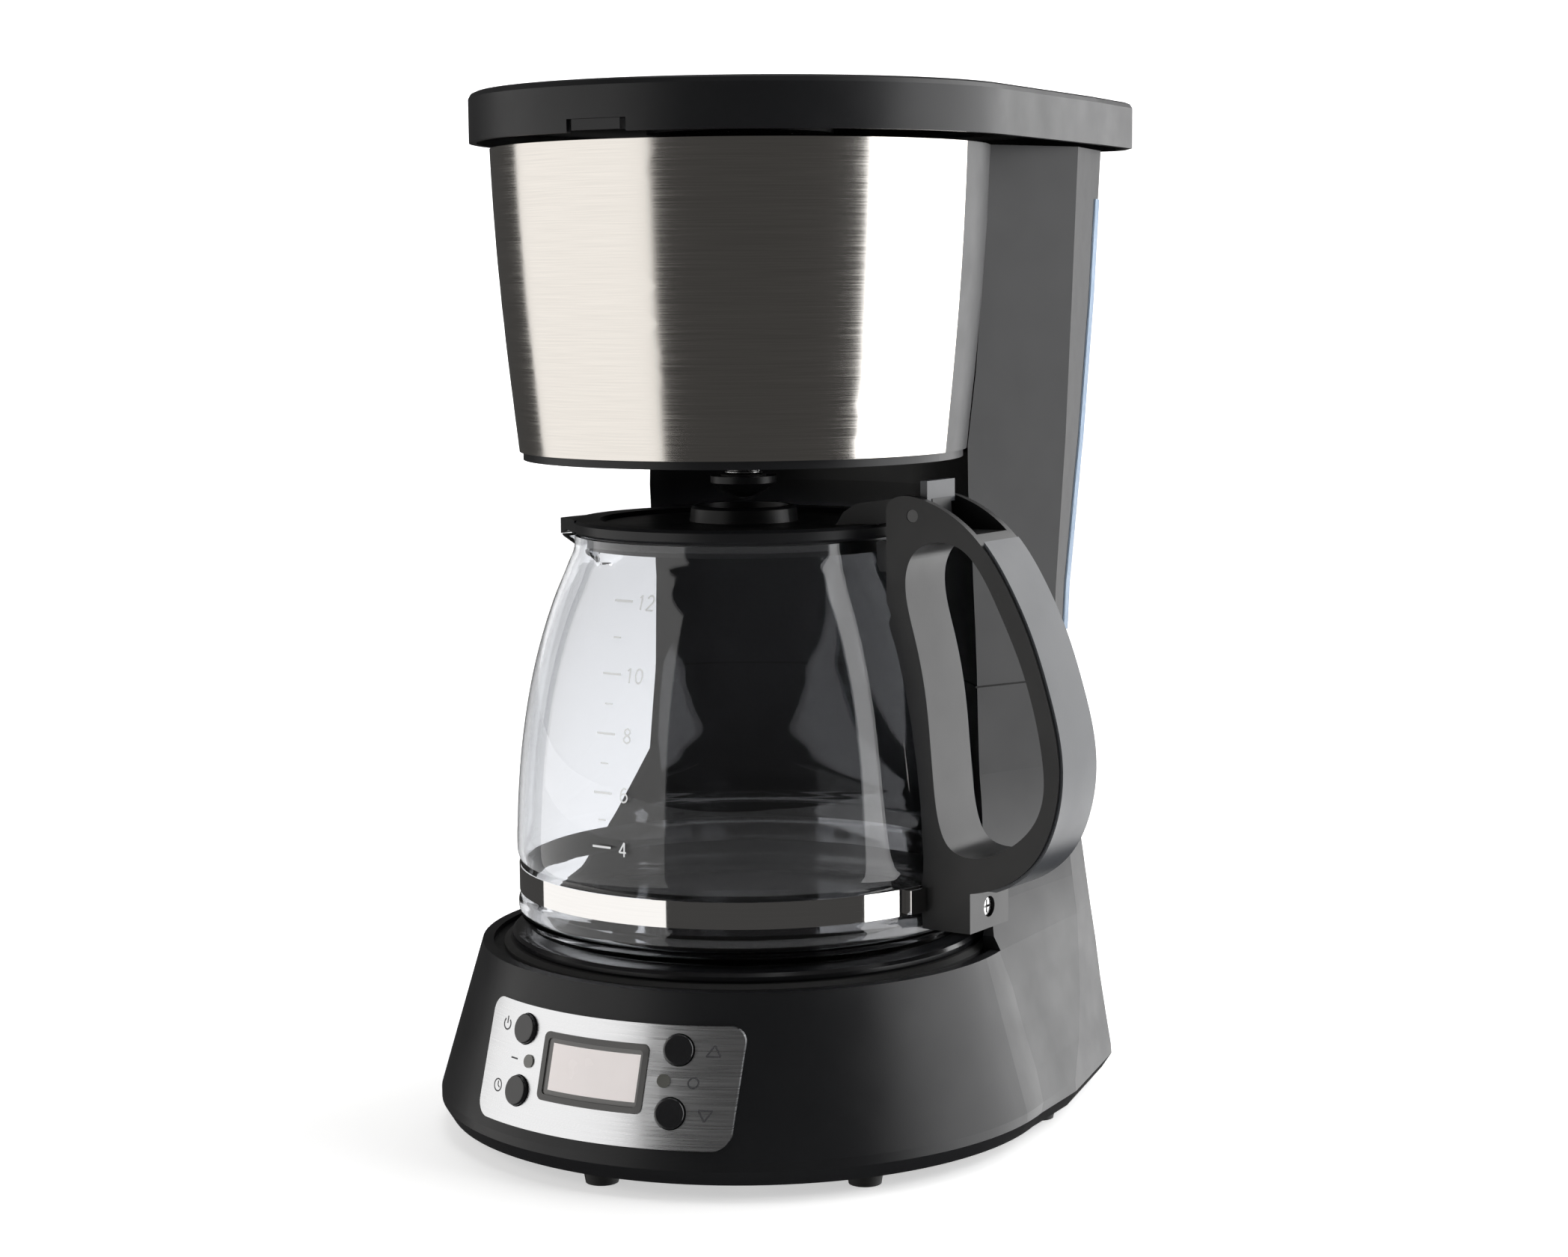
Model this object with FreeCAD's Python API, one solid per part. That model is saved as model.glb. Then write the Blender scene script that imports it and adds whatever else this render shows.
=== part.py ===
"""Drip coffee maker: rear tank column, brew drum with lid, conical base, glass carafe.

Working frame, in millimetres: +Z up, the front of the machine faces -Y, and the
axis of the drum, warming plate and carafe is the line X = Y = 0. Every solid is
moved at export so that the origin is under the middle of the whole object's box.
"""
import FreeCAD
import Part
import math
import os

V = FreeCAD.Vector
UP = V(0, 0, 1)
ORIGIN = V(0, 0, 0)

# ---------------------------------------------------------------- driving sizes
WALL = 2.5                  # moulded wall of the housings
GAP = 0.3                   # running gap between pieces that move past each other

# base
BASE_Z = 4.6                # underside of the base shell
BASE_BEVEL_R, BASE_R = 99.0, 102.0
BASE_BEVEL_Z, BASE_CONE_Z = 9.5, 12.5
BASE_TOP_R, BASE_TOP_Z = 87.6, 61.0
RECESS_R, RECESS_FLOOR_Z = 84.0, 59.4
COVER_THICK = 2.0
FOOT_R = 6.0

# warming plate
PLATE_R, PLATE_Z = 77.8, 61.6
PLATE_SEAT_Z = 64.6         # where the carafe stands

# column and brew drum
SEAM_Z = 141.0
HOUSING_TOP_Z = 318.6
RIM_BACK_Y = 12.0           # in front of this the base's top rim is open
DRUM_TOP_Z, DRUM_BOTTOM_Z = 317.6, 221.0
DRUM_PROFILE = [(72.6, 221.0), (75.2, 245.0), (77.6, 270.0), (79.3, 294.0), (80.4, 317.6)]
BAND_SKIN = 0.6
BAND_END_DEG = 1.5          # the steel band ends just behind the drum's sides
DRUM_WALL = 2.4
FLOOR_R, FLOOR_Z = 71.4, 218.4
BAY_PROFILE = [(81.5, 50.0), (81.5, 66.0), (78.4, 84.0), (77.6, 97.0), (77.0, 120.0), (76.7, 145.0),
               (76.2, 160.0), (74.8, 190.0), (73.6, 206.0), (73.5, 221.0), (76.6, 245.0), (80.9, 293.0),
               (82.3, 318.6), (83.0, 330.0)]
DECK_Z, DECK_THICK = 312.0, 2.4

# lid
LID_Z, LID_TOP_Z = 319.6, 335.4
LID_R, LID_CENTRE_Y = 89.5, 4.5
LID_WALL = 2.4
LID_BACK_Y = 152.0
HINGE_Y, HINGE_Z = 147.4, 315.6
HINGE_PIN_R, HINGE_LUG_R = 1.8, 3.4

# filter basket
BASKET_TOP_R, BASKET_BOTTOM_R = 69.0, 58.0
BASKET_TOP_Z, BASKET_BOTTOM_Z = 316.4, 226.0
BASKET_FLANGE_R = 74.0
BASKET_WALL = 1.8

# drip-stop valve
VALVE_R, VALVE_TOP_Z, VALVE_TIP_Z = 10.8, 212.2, 205.4
SPRING_R, SPRING_WIRE = 5.4, 0.7

# carafe
BAND_LOW_Z, BAND_HIGH_Z, BAND_R = 77.8, 86.2, 75.0
GLASS_WALL = 1.8
GLASS_PROFILE = [(66.5, 64.7), (70.5, 65.5), (73.6, 67.8), (75.2, 71.0), (75.5, 74.2), (74.6, 77.0),
                 (74.3, 82.0), (74.6, 87.0), (75.7, 90.0), (75.8, 95.0), (75.5, 100.0), (74.9, 111.0),
                 (73.5, 124.0), (71.8, 136.0), (69.3, 148.4), (66.2, 160.6), (62.0, 172.8),
                 (57.4, 184.0), (55.0, 189.6), (55.2, 193.6)]
CLID_R, CLID_Z, CLID_TOP_Z = 55.6, 194.2, 198.6
SPOUT_X, SPOUT_R, SPOUT_TOP_Z = -64.0, 9.3, 190.2
HUB_R, HUB_TOP_Z = 17.2, 202.6
HANDLE_TURN = -4.0          # the carafe stands turned this many degrees on its plate
HANDLE_HALF = 12.0
LID_PIN_X, LID_PIN_Z = 71.5, 202.3

# control panel
PANEL_HALF_W, PANEL_LOW_Z, PANEL_HIGH_Z, PANEL_CORNER = 46.0, 15.8, 51.6, 5.0
PANEL_PROUD = 0.8
SCREEN_HALF_W, SCREEN_LOW_Z, SCREEN_HIGH_Z = 19.0, 25.4, 45.6
BUTTON_R, BUTTON_OUT, BUTTON_TRAVEL = 4.7, 2.2, 1.0
BUTTON_SPOTS = {"button_1": (-27.6, 44.3), "button_2": (-27.6, 26.0),
                "button_3": (27.6, 44.3), "button_4": (27.6, 26.0)}
LAMP_R = 2.1
LAMP_SPOTS = [(-24.4, 35.2), (24.4, 35.2)]

# half plan of the housing at each height:
# height, front corner (X, Y), crease (X, Y), rear edge (X, Y), back corner (X, Y), back Y
LOWER_PLAN = [
    (4.6, (98.4, 8.0), (97.6, 40.0), (88.0, 90.4), (64.0, 131.5), 133.0),
    (9.5, (101.4, 8.0), (100.4, 41.0), (91.0, 91.6), (66.0, 134.0), 136.0),
    (12.5, (101.4, 8.0), (99.2, 43.0), (90.4, 92.4), (66.0, 134.0), 136.0),
    (23.0, (98.2, 8.0), (94.6, 56.0), (88.4, 92.6), (64.5, 133.2), 135.4),
    (36.0, (94.4, 8.0), (90.2, 66.5), (86.0, 93.0), (63.0, 132.4), 134.8),
    (49.0, (90.4, 8.0), (86.6, 73.5), (84.0, 93.4), (61.5, 131.6), 134.2),
    (61.0, (87.0, 8.0), (84.8, 76.0), (82.0, 93.4), (60.0, 130.6), 133.6),
    (74.0, (79.5, 20.0), (83.3, 75.5), (80.2, 93.0), (57.9, 130.5), 133.3),
    (86.0, (73.5, 27.0), (82.0, 75.0), (78.6, 92.6), (56.0, 130.4), 133.0),
    (112.0, (64.5, 41.0), (79.2, 74.0), (75.8, 91.4), (52.6, 130.2), 132.4),
    (SEAM_Z, (62.8, 43.0), (77.0, 73.0), (73.4, 90.2), (50.3, 130.0), 132.0),
]
UPPER_PLAN = [
    (SEAM_Z, (62.8, 43.0), (77.0, 73.0), (73.4, 90.2), (50.3, 130.0), 132.0),
    (172.0, (62.0, 42.6), (77.1, 75.2), (73.0, 94.6), (51.6, 131.2), 133.4),
    (205.0, (61.4, 39.6), (78.2, 77.8), (73.2, 101.4), (54.4, 133.5), 135.6),
    (221.0, (60.4, 38.6), (78.7, 79.2), (73.4, 104.8), (55.7, 134.7), 136.7),
    (268.0, (61.8, 44.6), (79.2, 83.0), (72.4, 115.4), (59.0, 138.0), 140.0),
    (318.6, (63.5, 51.6), (79.6, 87.0), (72.1, 122.6), (61.5, 140.5), 143.0),
]


# ---------------------------------------------------------------- small helpers
def ring_of(points, close=True):
    """Wire through points, closed by default."""
    pts = [V(*p) if not isinstance(p, FreeCAD.Vector) else p for p in points]
    return Part.makePolygon(pts + [pts[0]]) if close else Part.makePolygon(pts)


def turned(profile, start=0.0, sweep=360.0):
    """Solid of revolution about Z from (radius, height) points, from start over sweep degrees."""
    face = Part.Face(ring_of([(r, 0, z) for r, z in profile]))
    face.rotate(ORIGIN, UP, start)
    return face.revolve(ORIGIN, UP, sweep)


def smooth_solid(points, top_rise=0.0):
    """Solid of revolution whose side is one smooth curve through (radius, height) points."""
    curve = Part.BSplineCurve()
    curve.interpolate([V(r, 0, z) for r, z in points])
    low, high = V(points[0][0], 0, points[0][1]), V(points[-1][0], 0, points[-1][1])
    top = high + V(0, 0, top_rise)
    corners = [high, top] if top_rise else [high]
    corners += [V(0, 0, top.z), V(0, 0, low.z), low]
    lines = [Part.makeLine(a, b) for a, b in zip(corners, corners[1:])]
    face = Part.Face(Part.Wire(Part.__sortEdges__([curve.toShape()] + lines)))
    return face.revolve(ORIGIN, UP, 360)


def smooth_ring(outer, thickness, start, sweep):
    """Part-turn skin whose faces are smooth curves through (radius, height) points."""
    curves = []
    for offset in (0.0, thickness):
        curve = Part.BSplineCurve()
        curve.interpolate([V(r - offset, 0, z) for r, z in outer])
        curves.append(curve.toShape())
    ends = [Part.makeLine(V(r, 0, z), V(r - thickness, 0, z)) for r, z in (outer[0], outer[-1])]
    face = Part.Face(Part.Wire(Part.__sortEdges__(curves + ends)))
    face.rotate(ORIGIN, UP, start)
    return face.revolve(ORIGIN, UP, sweep)


def inner_points(outer, thickness, floor):
    """The curve one wall inside an outer (radius, height) curve, above a flat floor."""
    out = []
    for i, (r, z) in enumerate(outer):
        r0, z0 = outer[max(i - 1, 0)]
        r1, z1 = outer[min(i + 1, len(outer) - 1)]
        length = math.hypot(r1 - r0, z1 - z0)
        out.append((r - thickness * (z1 - z0) / length, z + thickness * (r1 - r0) / length))
    out[0] = (outer[0][0] - 0.8, outer[0][1] + floor)
    return out


def tube(r_out, r_in, z0, z1, x=0.0, y=0.0):
    body = Part.makeCylinder(r_out, z1 - z0, V(x, y, z0))
    return body.cut(Part.makeCylinder(r_in, z1 - z0, V(x, y, z0)))


def box(x0, y0, z0, x1, y1, z1):
    return Part.makeBox(x1 - x0, y1 - y0, z1 - z0, V(x0, y0, z0))


def cyl_x(r, x0, x1, y, z):
    return Part.makeCylinder(r, x1 - x0, V(x0, y, z), V(1, 0, 0))


def prism(points, y0, y1):
    """Solid from an X-Z outline, pulled from y0 to y1."""
    face = Part.Face(ring_of([(x, y0, z) for x, z in points]))
    return face.extrude(V(0, y1 - y0, 0))


def pipe(points, r_out, r_in=0.0, bend=6.0):
    """Tube along a polyline with balls at the corners, bored out if r_in is given."""
    def solid(r):
        parts = []
        for a, b in zip(points, points[1:]):
            a, b = V(*a), V(*b)
            parts.append(Part.makeCylinder(r, (b - a).Length, a, b - a))
        for p in points[1:-1]:
            parts.append(Part.makeSphere(r, V(*p)))
        return parts[0].multiFuse(parts[1:]) if len(parts) > 1 else parts[0]
    body = solid(r_out)
    return body.cut(solid(r_in)) if r_in else body


def rounded(shape, edges, radius):
    """Fillet, or the plain shape where the fillet can't be built."""
    try:
        out = shape.makeFillet(radius, edges)
        return out if out.isValid() and out.Volume > 0 else shape
    except Exception:
        return shape


def fused(shapes):
    out = shapes[0].multiFuse(shapes[1:])
    return out.removeSplitter()


# ---------------------------------------------------------------- housings
def plan_wire(row, inset=0.0):
    """Closed plan outline of the housing behind its front corners, moved in by inset."""
    z, front, crease, rear, corner, back_y = row
    k = inset
    right = [(front[0] - k, front[1]), (crease[0] - k, crease[1]), (rear[0] - k, rear[1] - 0.3 * k),
             (corner[0] - 0.9 * k, corner[1] - 0.8 * k), (corner[0] - 6.0 - 0.8 * k, back_y - k)]
    return ring_of([(x, y, z) for x, y in right] + [(-x, y, z) for x, y in reversed(right)])


def housing(plan, inset=0.0):
    return Part.makeLoft([plan_wire(row, inset) for row in plan], True, True)


def bay(extra=0.0, floor=BASE_TOP_Z):
    """Space in front of the column: the carafe's round bay and everything before it."""
    top = 340.0
    rows = [(r + extra, z) for r, z in BAY_PROFILE]
    round_bay = turned([(0, rows[0][1])] + rows + [(0, rows[-1][1])])
    round_bay = round_bay.common(box(-150, -150, floor, 150, 150, top))
    return round_bay.fuse(box(-150, -150, floor, 150, RIM_BACK_Y + extra, top))


def cone_front(inset=0.0, top=BASE_TOP_Z):
    slope = (BASE_R - BASE_TOP_R) / (BASE_TOP_Z - BASE_CONE_Z)
    r_top = BASE_R - slope * (top - BASE_CONE_Z)
    return turned([(0, BASE_Z), (BASE_BEVEL_R - inset, BASE_Z), (BASE_R - inset, BASE_BEVEL_Z),
                   (BASE_R - inset, BASE_CONE_Z), (r_top - inset, top), (0, top)])


def drum_r(z):
    rows = DRUM_PROFILE
    for (r0, z0), (r1, z1) in zip(rows, rows[1:]):
        if z <= z1:
            return r0 + (r1 - r0) * (z - z0) / (z1 - z0)
    return rows[-1][0]


def panel_point(x, z, out=0.0):
    """Point on the cone face at a given X and height, and its outward normal."""
    slope = (BASE_R - BASE_TOP_R) / (BASE_TOP_Z - BASE_CONE_Z)
    r = BASE_R - slope * (z - BASE_CONE_Z)
    y = -math.sqrt(r * r - x * x)
    lean = math.atan(slope)
    n = V(x / r * math.cos(lean), y / r * math.cos(lean), math.sin(lean))
    return V(x, y, z) + n * out, n


def cone_skin(lift, depth):
    """Thin conical skin between depth under and lift over the base's cone face."""
    return cone_front(-lift).cut(cone_front(depth))


def screen_prism(half_w, z0, z1, corner):
    """Rounded rectangle seen from the front, pulled through the base's front."""
    slab = box(-half_w, -130, z0, half_w, -60, z1)
    edges = [e for e in slab.Edges if abs(e.Vertexes[0].Point.y - e.Vertexes[-1].Point.y) > 60]
    return slab.makeFillet(corner, edges)


parts = {}

# base shell: cone, flared rear and the lower half of the column
outer = cone_front().fuse(housing(LOWER_PLAN)).cut(bay())
inner = cone_front(WALL, BASE_TOP_Z - WALL).fuse(housing(LOWER_PLAN, WALL)).cut(bay(WALL, BASE_TOP_Z - WALL))
shell = outer.cut(inner)
recess = tube(RECESS_R, 70.0, RECESS_FLOOR_Z, BASE_TOP_Z + 1)
shell = shell.cut(recess.common(box(-99, -99, 50, 99, RIM_BACK_Y, 70)))
shell = shell.cut(tube(BAY_PROFILE[0][0], 70.0, RECESS_FLOOR_Z, BASE_TOP_Z + 1))
shell = shell.cut(Part.makeCylinder(71.0, 10, V(0, 0, 55)))
for x, z in BUTTON_SPOTS.values():
    p, n = panel_point(x, z)
    shell = shell.cut(Part.makeCylinder(BUTTON_R + 1.2, 12, p - n * 8, n))
for x, z in LAMP_SPOTS:
    p, n = panel_point(x, z)
    shell = shell.cut(Part.makeCylinder(LAMP_R + 0.2, 12, p - n * 8, n))
shell = shell.cut(screen_prism(SCREEN_HALF_W - 1.5, SCREEN_LOW_Z + 1.5, SCREEN_HIGH_Z - 1.5, 1.5))
INLET_X, INLET_Z, INLET_R = -34.0, 24.0, 6.0
shell = shell.cut(Part.makeCylinder(INLET_R, 20, V(INLET_X, 125, INLET_Z), V(0, 1, 0)))
parts["base_shell"] = shell

# bottom cover, inside the shell's skirt
floor_outline = cone_front(WALL + 0.4).fuse(housing(LOWER_PLAN, WALL + 0.4))
cover = floor_outline.common(box(-150, -150, BASE_Z + 0.3, 150, 150, BASE_Z + 0.3 + COVER_THICK))
FOOT_SPOTS = [(-72, -53), (0, -90), (72, -53), (-88, 38), (88, 38), (-54, 118), (54, 118)]
SCREW_SPOTS = [(-42, -76), (44, -76), (-88, -10), (88, -10), (-74, 74), (74, 74), (0, 120)]
for i in range(9):
    cover = cover.cut(box(-30, -20 + 8 * i, 0, 30, -17 + 8 * i, 12))
for x, y in SCREW_SPOTS:
    cover = cover.cut(Part.makeCylinder(1.8, 10, V(x, y, 0)))
parts["bottom_cover"] = cover
screws = []
for x, y in SCREW_SPOTS:
    head = Part.makeCylinder(3.2, 1.6, V(x, y, BASE_Z - 1.3))
    head = head.cut(box(x - 2.6, y - 0.5, 3.0, x + 2.6, y + 0.5, 4.1))
    screws.append(head.fuse(Part.makeCylinder(1.5, 9.0, V(x, y, BASE_Z + 0.2))))
parts["cover_screws"] = Part.makeCompound(screws)
feet = []
for x, y in FOOT_SPOTS:
    foot = Part.makeCone(FOOT_R - 0.9, FOOT_R, BASE_Z + 0.3, V(x, y, 0))
    feet.append(foot.cut(Part.makeCone(3.2, 2.4, 1.5, V(x, y, 0))))
parts["feet"] = Part.makeCompound(feet)

# warming plate, its seal and what heats it
plate_low = PLATE_SEAT_Z - 1.8
parts["warming_plate"] = turned([(0, plate_low), (PLATE_R - 6, plate_low), (PLATE_R - 4, PLATE_Z),
                                 (PLATE_R - 0.6, PLATE_Z), (PLATE_R, PLATE_Z + 0.8),
                                 (PLATE_R, PLATE_SEAT_Z - 1.0), (PLATE_R - 1.0, PLATE_SEAT_Z),
                                 (28, PLATE_SEAT_Z), (26, PLATE_SEAT_Z - 0.5), (0, PLATE_SEAT_Z - 0.5)])
parts["plate_seal"] = turned([(71.0, RECESS_FLOOR_Z), (80.6, RECESS_FLOOR_Z), (80.6, 60.4),
                              (78.4, 61.4), (74.6, PLATE_Z), (71.0, PLATE_Z)])
HEATER_R, HEATER_WIRE, HEATER_Z = 38.0, 5.2, 56.6
heater = [Part.makeTorus(HEATER_R, HEATER_WIRE, V(0, 0, HEATER_Z)).cut(box(-12, 0, 40, 12, 60, 70))]
for x in (-12.0, 12.0):
    heater.append(Part.makeCylinder(HEATER_WIRE, 22.0, V(x, 34.6, HEATER_Z), V(0, 1, 0)))
tray = Part.makeCylinder(52.0, 0.8, V(0, 0, 62.0)).cut(Part.makeCylinder(20.0, 3, V(0, 0, 61)))
parts["heating_element"] = fused(heater)
parts["heater_tray"] = tray
parts["thermostat"] = Part.makeCylinder(8.0, 6.0, V(-56, -6, 55.4)).fuse(box(-63, -9, 52.4, -49, -3, 55.4))
parts["thermal_fuse"] = Part.makeCylinder(2.4, 26.0, V(-13, -54, 50.2), V(1, 0, 0)).fuse(
    box(-4, -57, 50.2, 4, -51, 53.0))

# water path
PIPE_Z, DIP_Z = 56.6, 49.0   # height of the water path at the heater, and under the bay's floor
COLD_X, RISER_X = -12.0, 12.0
check = Part.makeCylinder(4.8, 16.0, V(COLD_X, 76.0, DIP_Z), V(0, 1, 0))
parts["check_valve"] = check.fuse(Part.makeCylinder(6.4, 3.0, V(COLD_X, 82.0, DIP_Z), V(0, 1, 0)))
cold = pipe([(COLD_X, 57, PIPE_Z), (COLD_X, 62, PIPE_Z), (COLD_X, 68, DIP_Z), (COLD_X, 76, DIP_Z)], 4.6, 3.2)
tank_drop = pipe([(COLD_X, 92.2, DIP_Z), (COLD_X, 102, DIP_Z), (COLD_X, 102, SEAM_Z + 4)], 6.0, 4.0)
parts["cold_hose"] = Part.makeCompound([cold, tank_drop])
parts["riser_tube"] = pipe([(RISER_X, 57, PIPE_Z), (RISER_X, 62, PIPE_Z), (RISER_X, 68, DIP_Z),
                            (RISER_X, 108, DIP_Z), (RISER_X, 108, 318.8)], 4.6, 3.2)

# upper housing: tank column and drum shell, moulded as one
tank_out = housing(UPPER_PLAN).cut(bay())
tank_in = housing(UPPER_PLAN, WALL).cut(bay(WALL))
tank_floor_z = SEAM_Z + 6.0
tank = tank_out.cut(tank_in.common(box(-150, 0, tank_floor_z + 2.4, 150, 160, 340)))
tank = tank.cut(tank_in.common(box(-150, 0, SEAM_Z - 1, 150, 160, tank_floor_z)))
drum_rows = [(r - BAND_SKIN, z) for r, z in DRUM_PROFILE]
drum_in = [(r - BAND_SKIN - DRUM_WALL, z) for r, z in reversed(DRUM_PROFILE)]
drum = turned(drum_rows + drum_in)
lip_rows = [(r - BAND_SKIN - 0.1, z) for r, z in DRUM_PROFILE] + [(r, z) for r, z in reversed(DRUM_PROFILE)]
lip = turned(lip_rows, BAND_END_DEG, 180 - 2 * BAND_END_DEG)
bridge = turned([(r - BAND_SKIN - 0.1, z) for r, z in DRUM_PROFILE] + [(84.5, 317.6), (84.5, 221.0)])
bridge = bridge.common(box(-60, 40, 200, 60, 100, 330)).common(bay(0.05))
body = fused([tank, drum, lip, bridge])
hose_hole = Part.makeCylinder(4.0, 12, V(COLD_X, 102, tank_floor_z - 3))
riser_hole = Part.makeCylinder(4.8, 200, V(RISER_X, 108, SEAM_Z - 5))
body = body.cut(hose_hole).cut(riser_hole)
for s in (-1, 1):
    x0, x1 = sorted((s * 42.0, s * 52.0))
    lug = cyl_x(HINGE_LUG_R, x0, x1, HINGE_Y, HINGE_Z).fuse(
        box(x0, 140.6, HINGE_Z - HINGE_LUG_R, x1, HINGE_Y, HINGE_Z + 2.6))
    body = body.fuse(lug)
body = body.cut(cyl_x(HINGE_PIN_R + 0.05, -53, 53, HINGE_Y, HINGE_Z))
parts["upper_housing"] = body

# water gauge, set into the rear right edge of the tank
GAUGE_LOW_Z, GAUGE_HIGH_Z, GAUGE_W = 156.0, 302.0, 6.0


def rear_edge(z):
    """Crease, rear edge and back corner of the upper housing at height z."""
    for lo, hi in zip(UPPER_PLAN, UPPER_PLAN[1:]):
        if z <= hi[0]:
            t = (z - lo[0]) / (hi[0] - lo[0])
            return [V(a[0] + t * (b[0] - a[0]), a[1] + t * (b[1] - a[1]), z) for a, b in zip(lo[2:5], hi[2:5])]
    return [V(p[0], p[1], z) for p in UPPER_PLAN[-1][2:5]]


def gauge_solid(proud, depth, width):
    wires = []
    for z in [GAUGE_LOW_Z] + [r[0] for r in UPPER_PLAN[1:-1]] + [GAUGE_HIGH_Z]:
        crease, rear, corner = rear_edge(z)
        d1 = (crease - rear).normalize()
        d2 = (corner - rear).normalize()
        n1, n2 = V(-d1.y, d1.x, 0), V(d2.y, -d2.x, 0)
        n1 = n1 if n1.x > 0 else n1 * -1
        n2 = n2 if n2.x > 0 else n2 * -1
        n = (n1 + n2).normalize()
        a, b = rear + d1 * width, rear + d2 * width
        wires.append(ring_of([a + n1 * proud, rear + n * proud, b + n2 * proud,
                              b - n2 * depth, rear - n * depth, a - n1 * depth]))
    return Part.makeLoft(wires, True, True)


gauge = gauge_solid(0.5, 1.4, GAUGE_W)
parts["water_gauge"] = gauge
slit = gauge_solid(-1.0, 4.0, 1.6).common(box(0, 0, GAUGE_LOW_Z + 4, 150, 150, GAUGE_HIGH_Z - 4))
parts["upper_housing"] = parts["upper_housing"].cut(gauge).cut(slit)

# tank cover with its filling opening, and the ring that carries the basket
plate = housing(UPPER_PLAN, WALL + 0.1).cut(bay(WALL + 0.1))
plate = plate.common(box(-150, 0, DECK_Z, 150, 160, DECK_Z + DECK_THICK))
plate = plate.cut(box(-44, 92, 300, 2, 134, 330)).cut(Part.makeCylinder(4.9, 20, V(RISER_X, 108, 305)))
for i in range(5):
    plate = plate.cut(box(28, 96 + 7 * i, 300, 52, 99 + 7 * i, 330))
parts["tank_cover"] = plate
ring_out = drum_r(DECK_Z) - BAND_SKIN - DRUM_WALL - 0.1
parts["basket_ring"] = tube(ring_out, BASKET_TOP_R + 1.2, DECK_Z, DECK_Z + DECK_THICK)
parts["drum_floor"] = turned([(12.4, FLOOR_Z + 0.6), (16.0, FLOOR_Z), (FLOOR_R, FLOOR_Z),
                              (FLOOR_R, DRUM_BOTTOM_Z), (12.4, DRUM_BOTTOM_Z)])

# steel band around the front of the drum
parts["steel_band"] = smooth_ring(DRUM_PROFILE, BAND_SKIN, 180 - BAND_END_DEG, 180 + 2 * BAND_END_DEG)

# hinge pin of the lid
parts["hinge_pin"] = cyl_x(HINGE_PIN_R, -52.6, 52.6, HINGE_Y, HINGE_Z)

# lid
LID_EDGE = [(89.05, 13.5), (83.6, 94.5), (79.0, 134.0), (70.0, 148.0), (64.0, LID_BACK_Y)]


def lid_wire(inset, z):
    k = inset
    r = LID_R - k
    back_shares = [0.0, 0.0, 0.6, 1.0, 1.0]
    pts = [(x - k, y - share * k) for (x, y), share in zip(LID_EDGE, back_shares)]
    pts[0] = (math.sqrt(r * r - (LID_EDGE[0][1] - LID_CENTRE_Y) ** 2), LID_EDGE[0][1])
    right = [V(x, y, z) for x, y in pts]
    left = [V(-x, y, z) for x, y in reversed(pts)]
    arc = Part.Arc(left[-1], V(0, LID_CENTRE_Y - r, z), right[0]).toShape()
    chain = right + left
    return Part.Wire([Part.makeLine(a, b) for a, b in zip(chain, chain[1:])] + [arc])


def lid_slab(inset, z0, z1, top_inset=None):
    if top_inset is None:
        return Part.Face(lid_wire(inset, z0)).extrude(V(0, 0, z1 - z0))
    return Part.makeLoft([lid_wire(inset, z0), lid_wire(top_inset, z1)], True, True)


crown = lid_slab(0.0, LID_Z, LID_TOP_Z - 2.0).fuse(lid_slab(0.0, LID_TOP_Z - 2.0, LID_TOP_Z - 0.6, 0.8))
crown = crown.fuse(lid_slab(0.8, LID_TOP_Z - 0.6, LID_TOP_Z, 2.2)).removeSplitter()
crown = crown.cut(lid_slab(LID_WALL, LID_Z, LID_TOP_Z - LID_WALL))
crown = crown.cut(box(-10.5, -95, LID_Z, 10.5, -70, LID_Z + 4.0))
for s in (-1, 1):
    x0, x1 = sorted((s * 30.0, s * 41.6))
    arm = cyl_x(3.3, x0, x1, HINGE_Y, HINGE_Z)
    arm = arm.fuse(box(x0, HINGE_Y - 3.3, HINGE_Z, x1, HINGE_Y + 3.3, LID_Z + 1.4))
    crown = crown.fuse(arm)
parts["lid_shell"] = crown.cut(cyl_x(HINGE_PIN_R + 0.05, -60, 60, HINGE_Y, HINGE_Z))
liner = lid_slab(LID_WALL + 0.1, LID_Z + 5.0, LID_Z + 6.6)
parts["lid_liner"] = liner.cut(Part.makeCylinder(30.2, 20, V(0, 0, 310))).cut(box(-30, 100, 300, 30, 116, 340))
tab_lip = box(-8.6, -84.6, LID_Z + 0.6, 8.6, -79.5, LID_Z + 3.9)
parts["lid_tab"] = tab_lip.fuse(box(-8.6, -82.0, LID_Z + 0.6, 8.6, -79.5, LID_Z + 5.0))
spray = Part.makeCylinder(30.0, 6.4, V(0, 0, LID_Z + 2.4))
spray = spray.cut(Part.makeCylinder(28.4, 4.8, V(0, 0, LID_Z + 4.0)))
for i in range(8):
    a = math.radians(45 * i + 22.5)
    spray = spray.cut(Part.makeCylinder(1.6, 6, V(18 * math.cos(a), 18 * math.sin(a), LID_Z)))
parts["spray_head"] = spray

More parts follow.
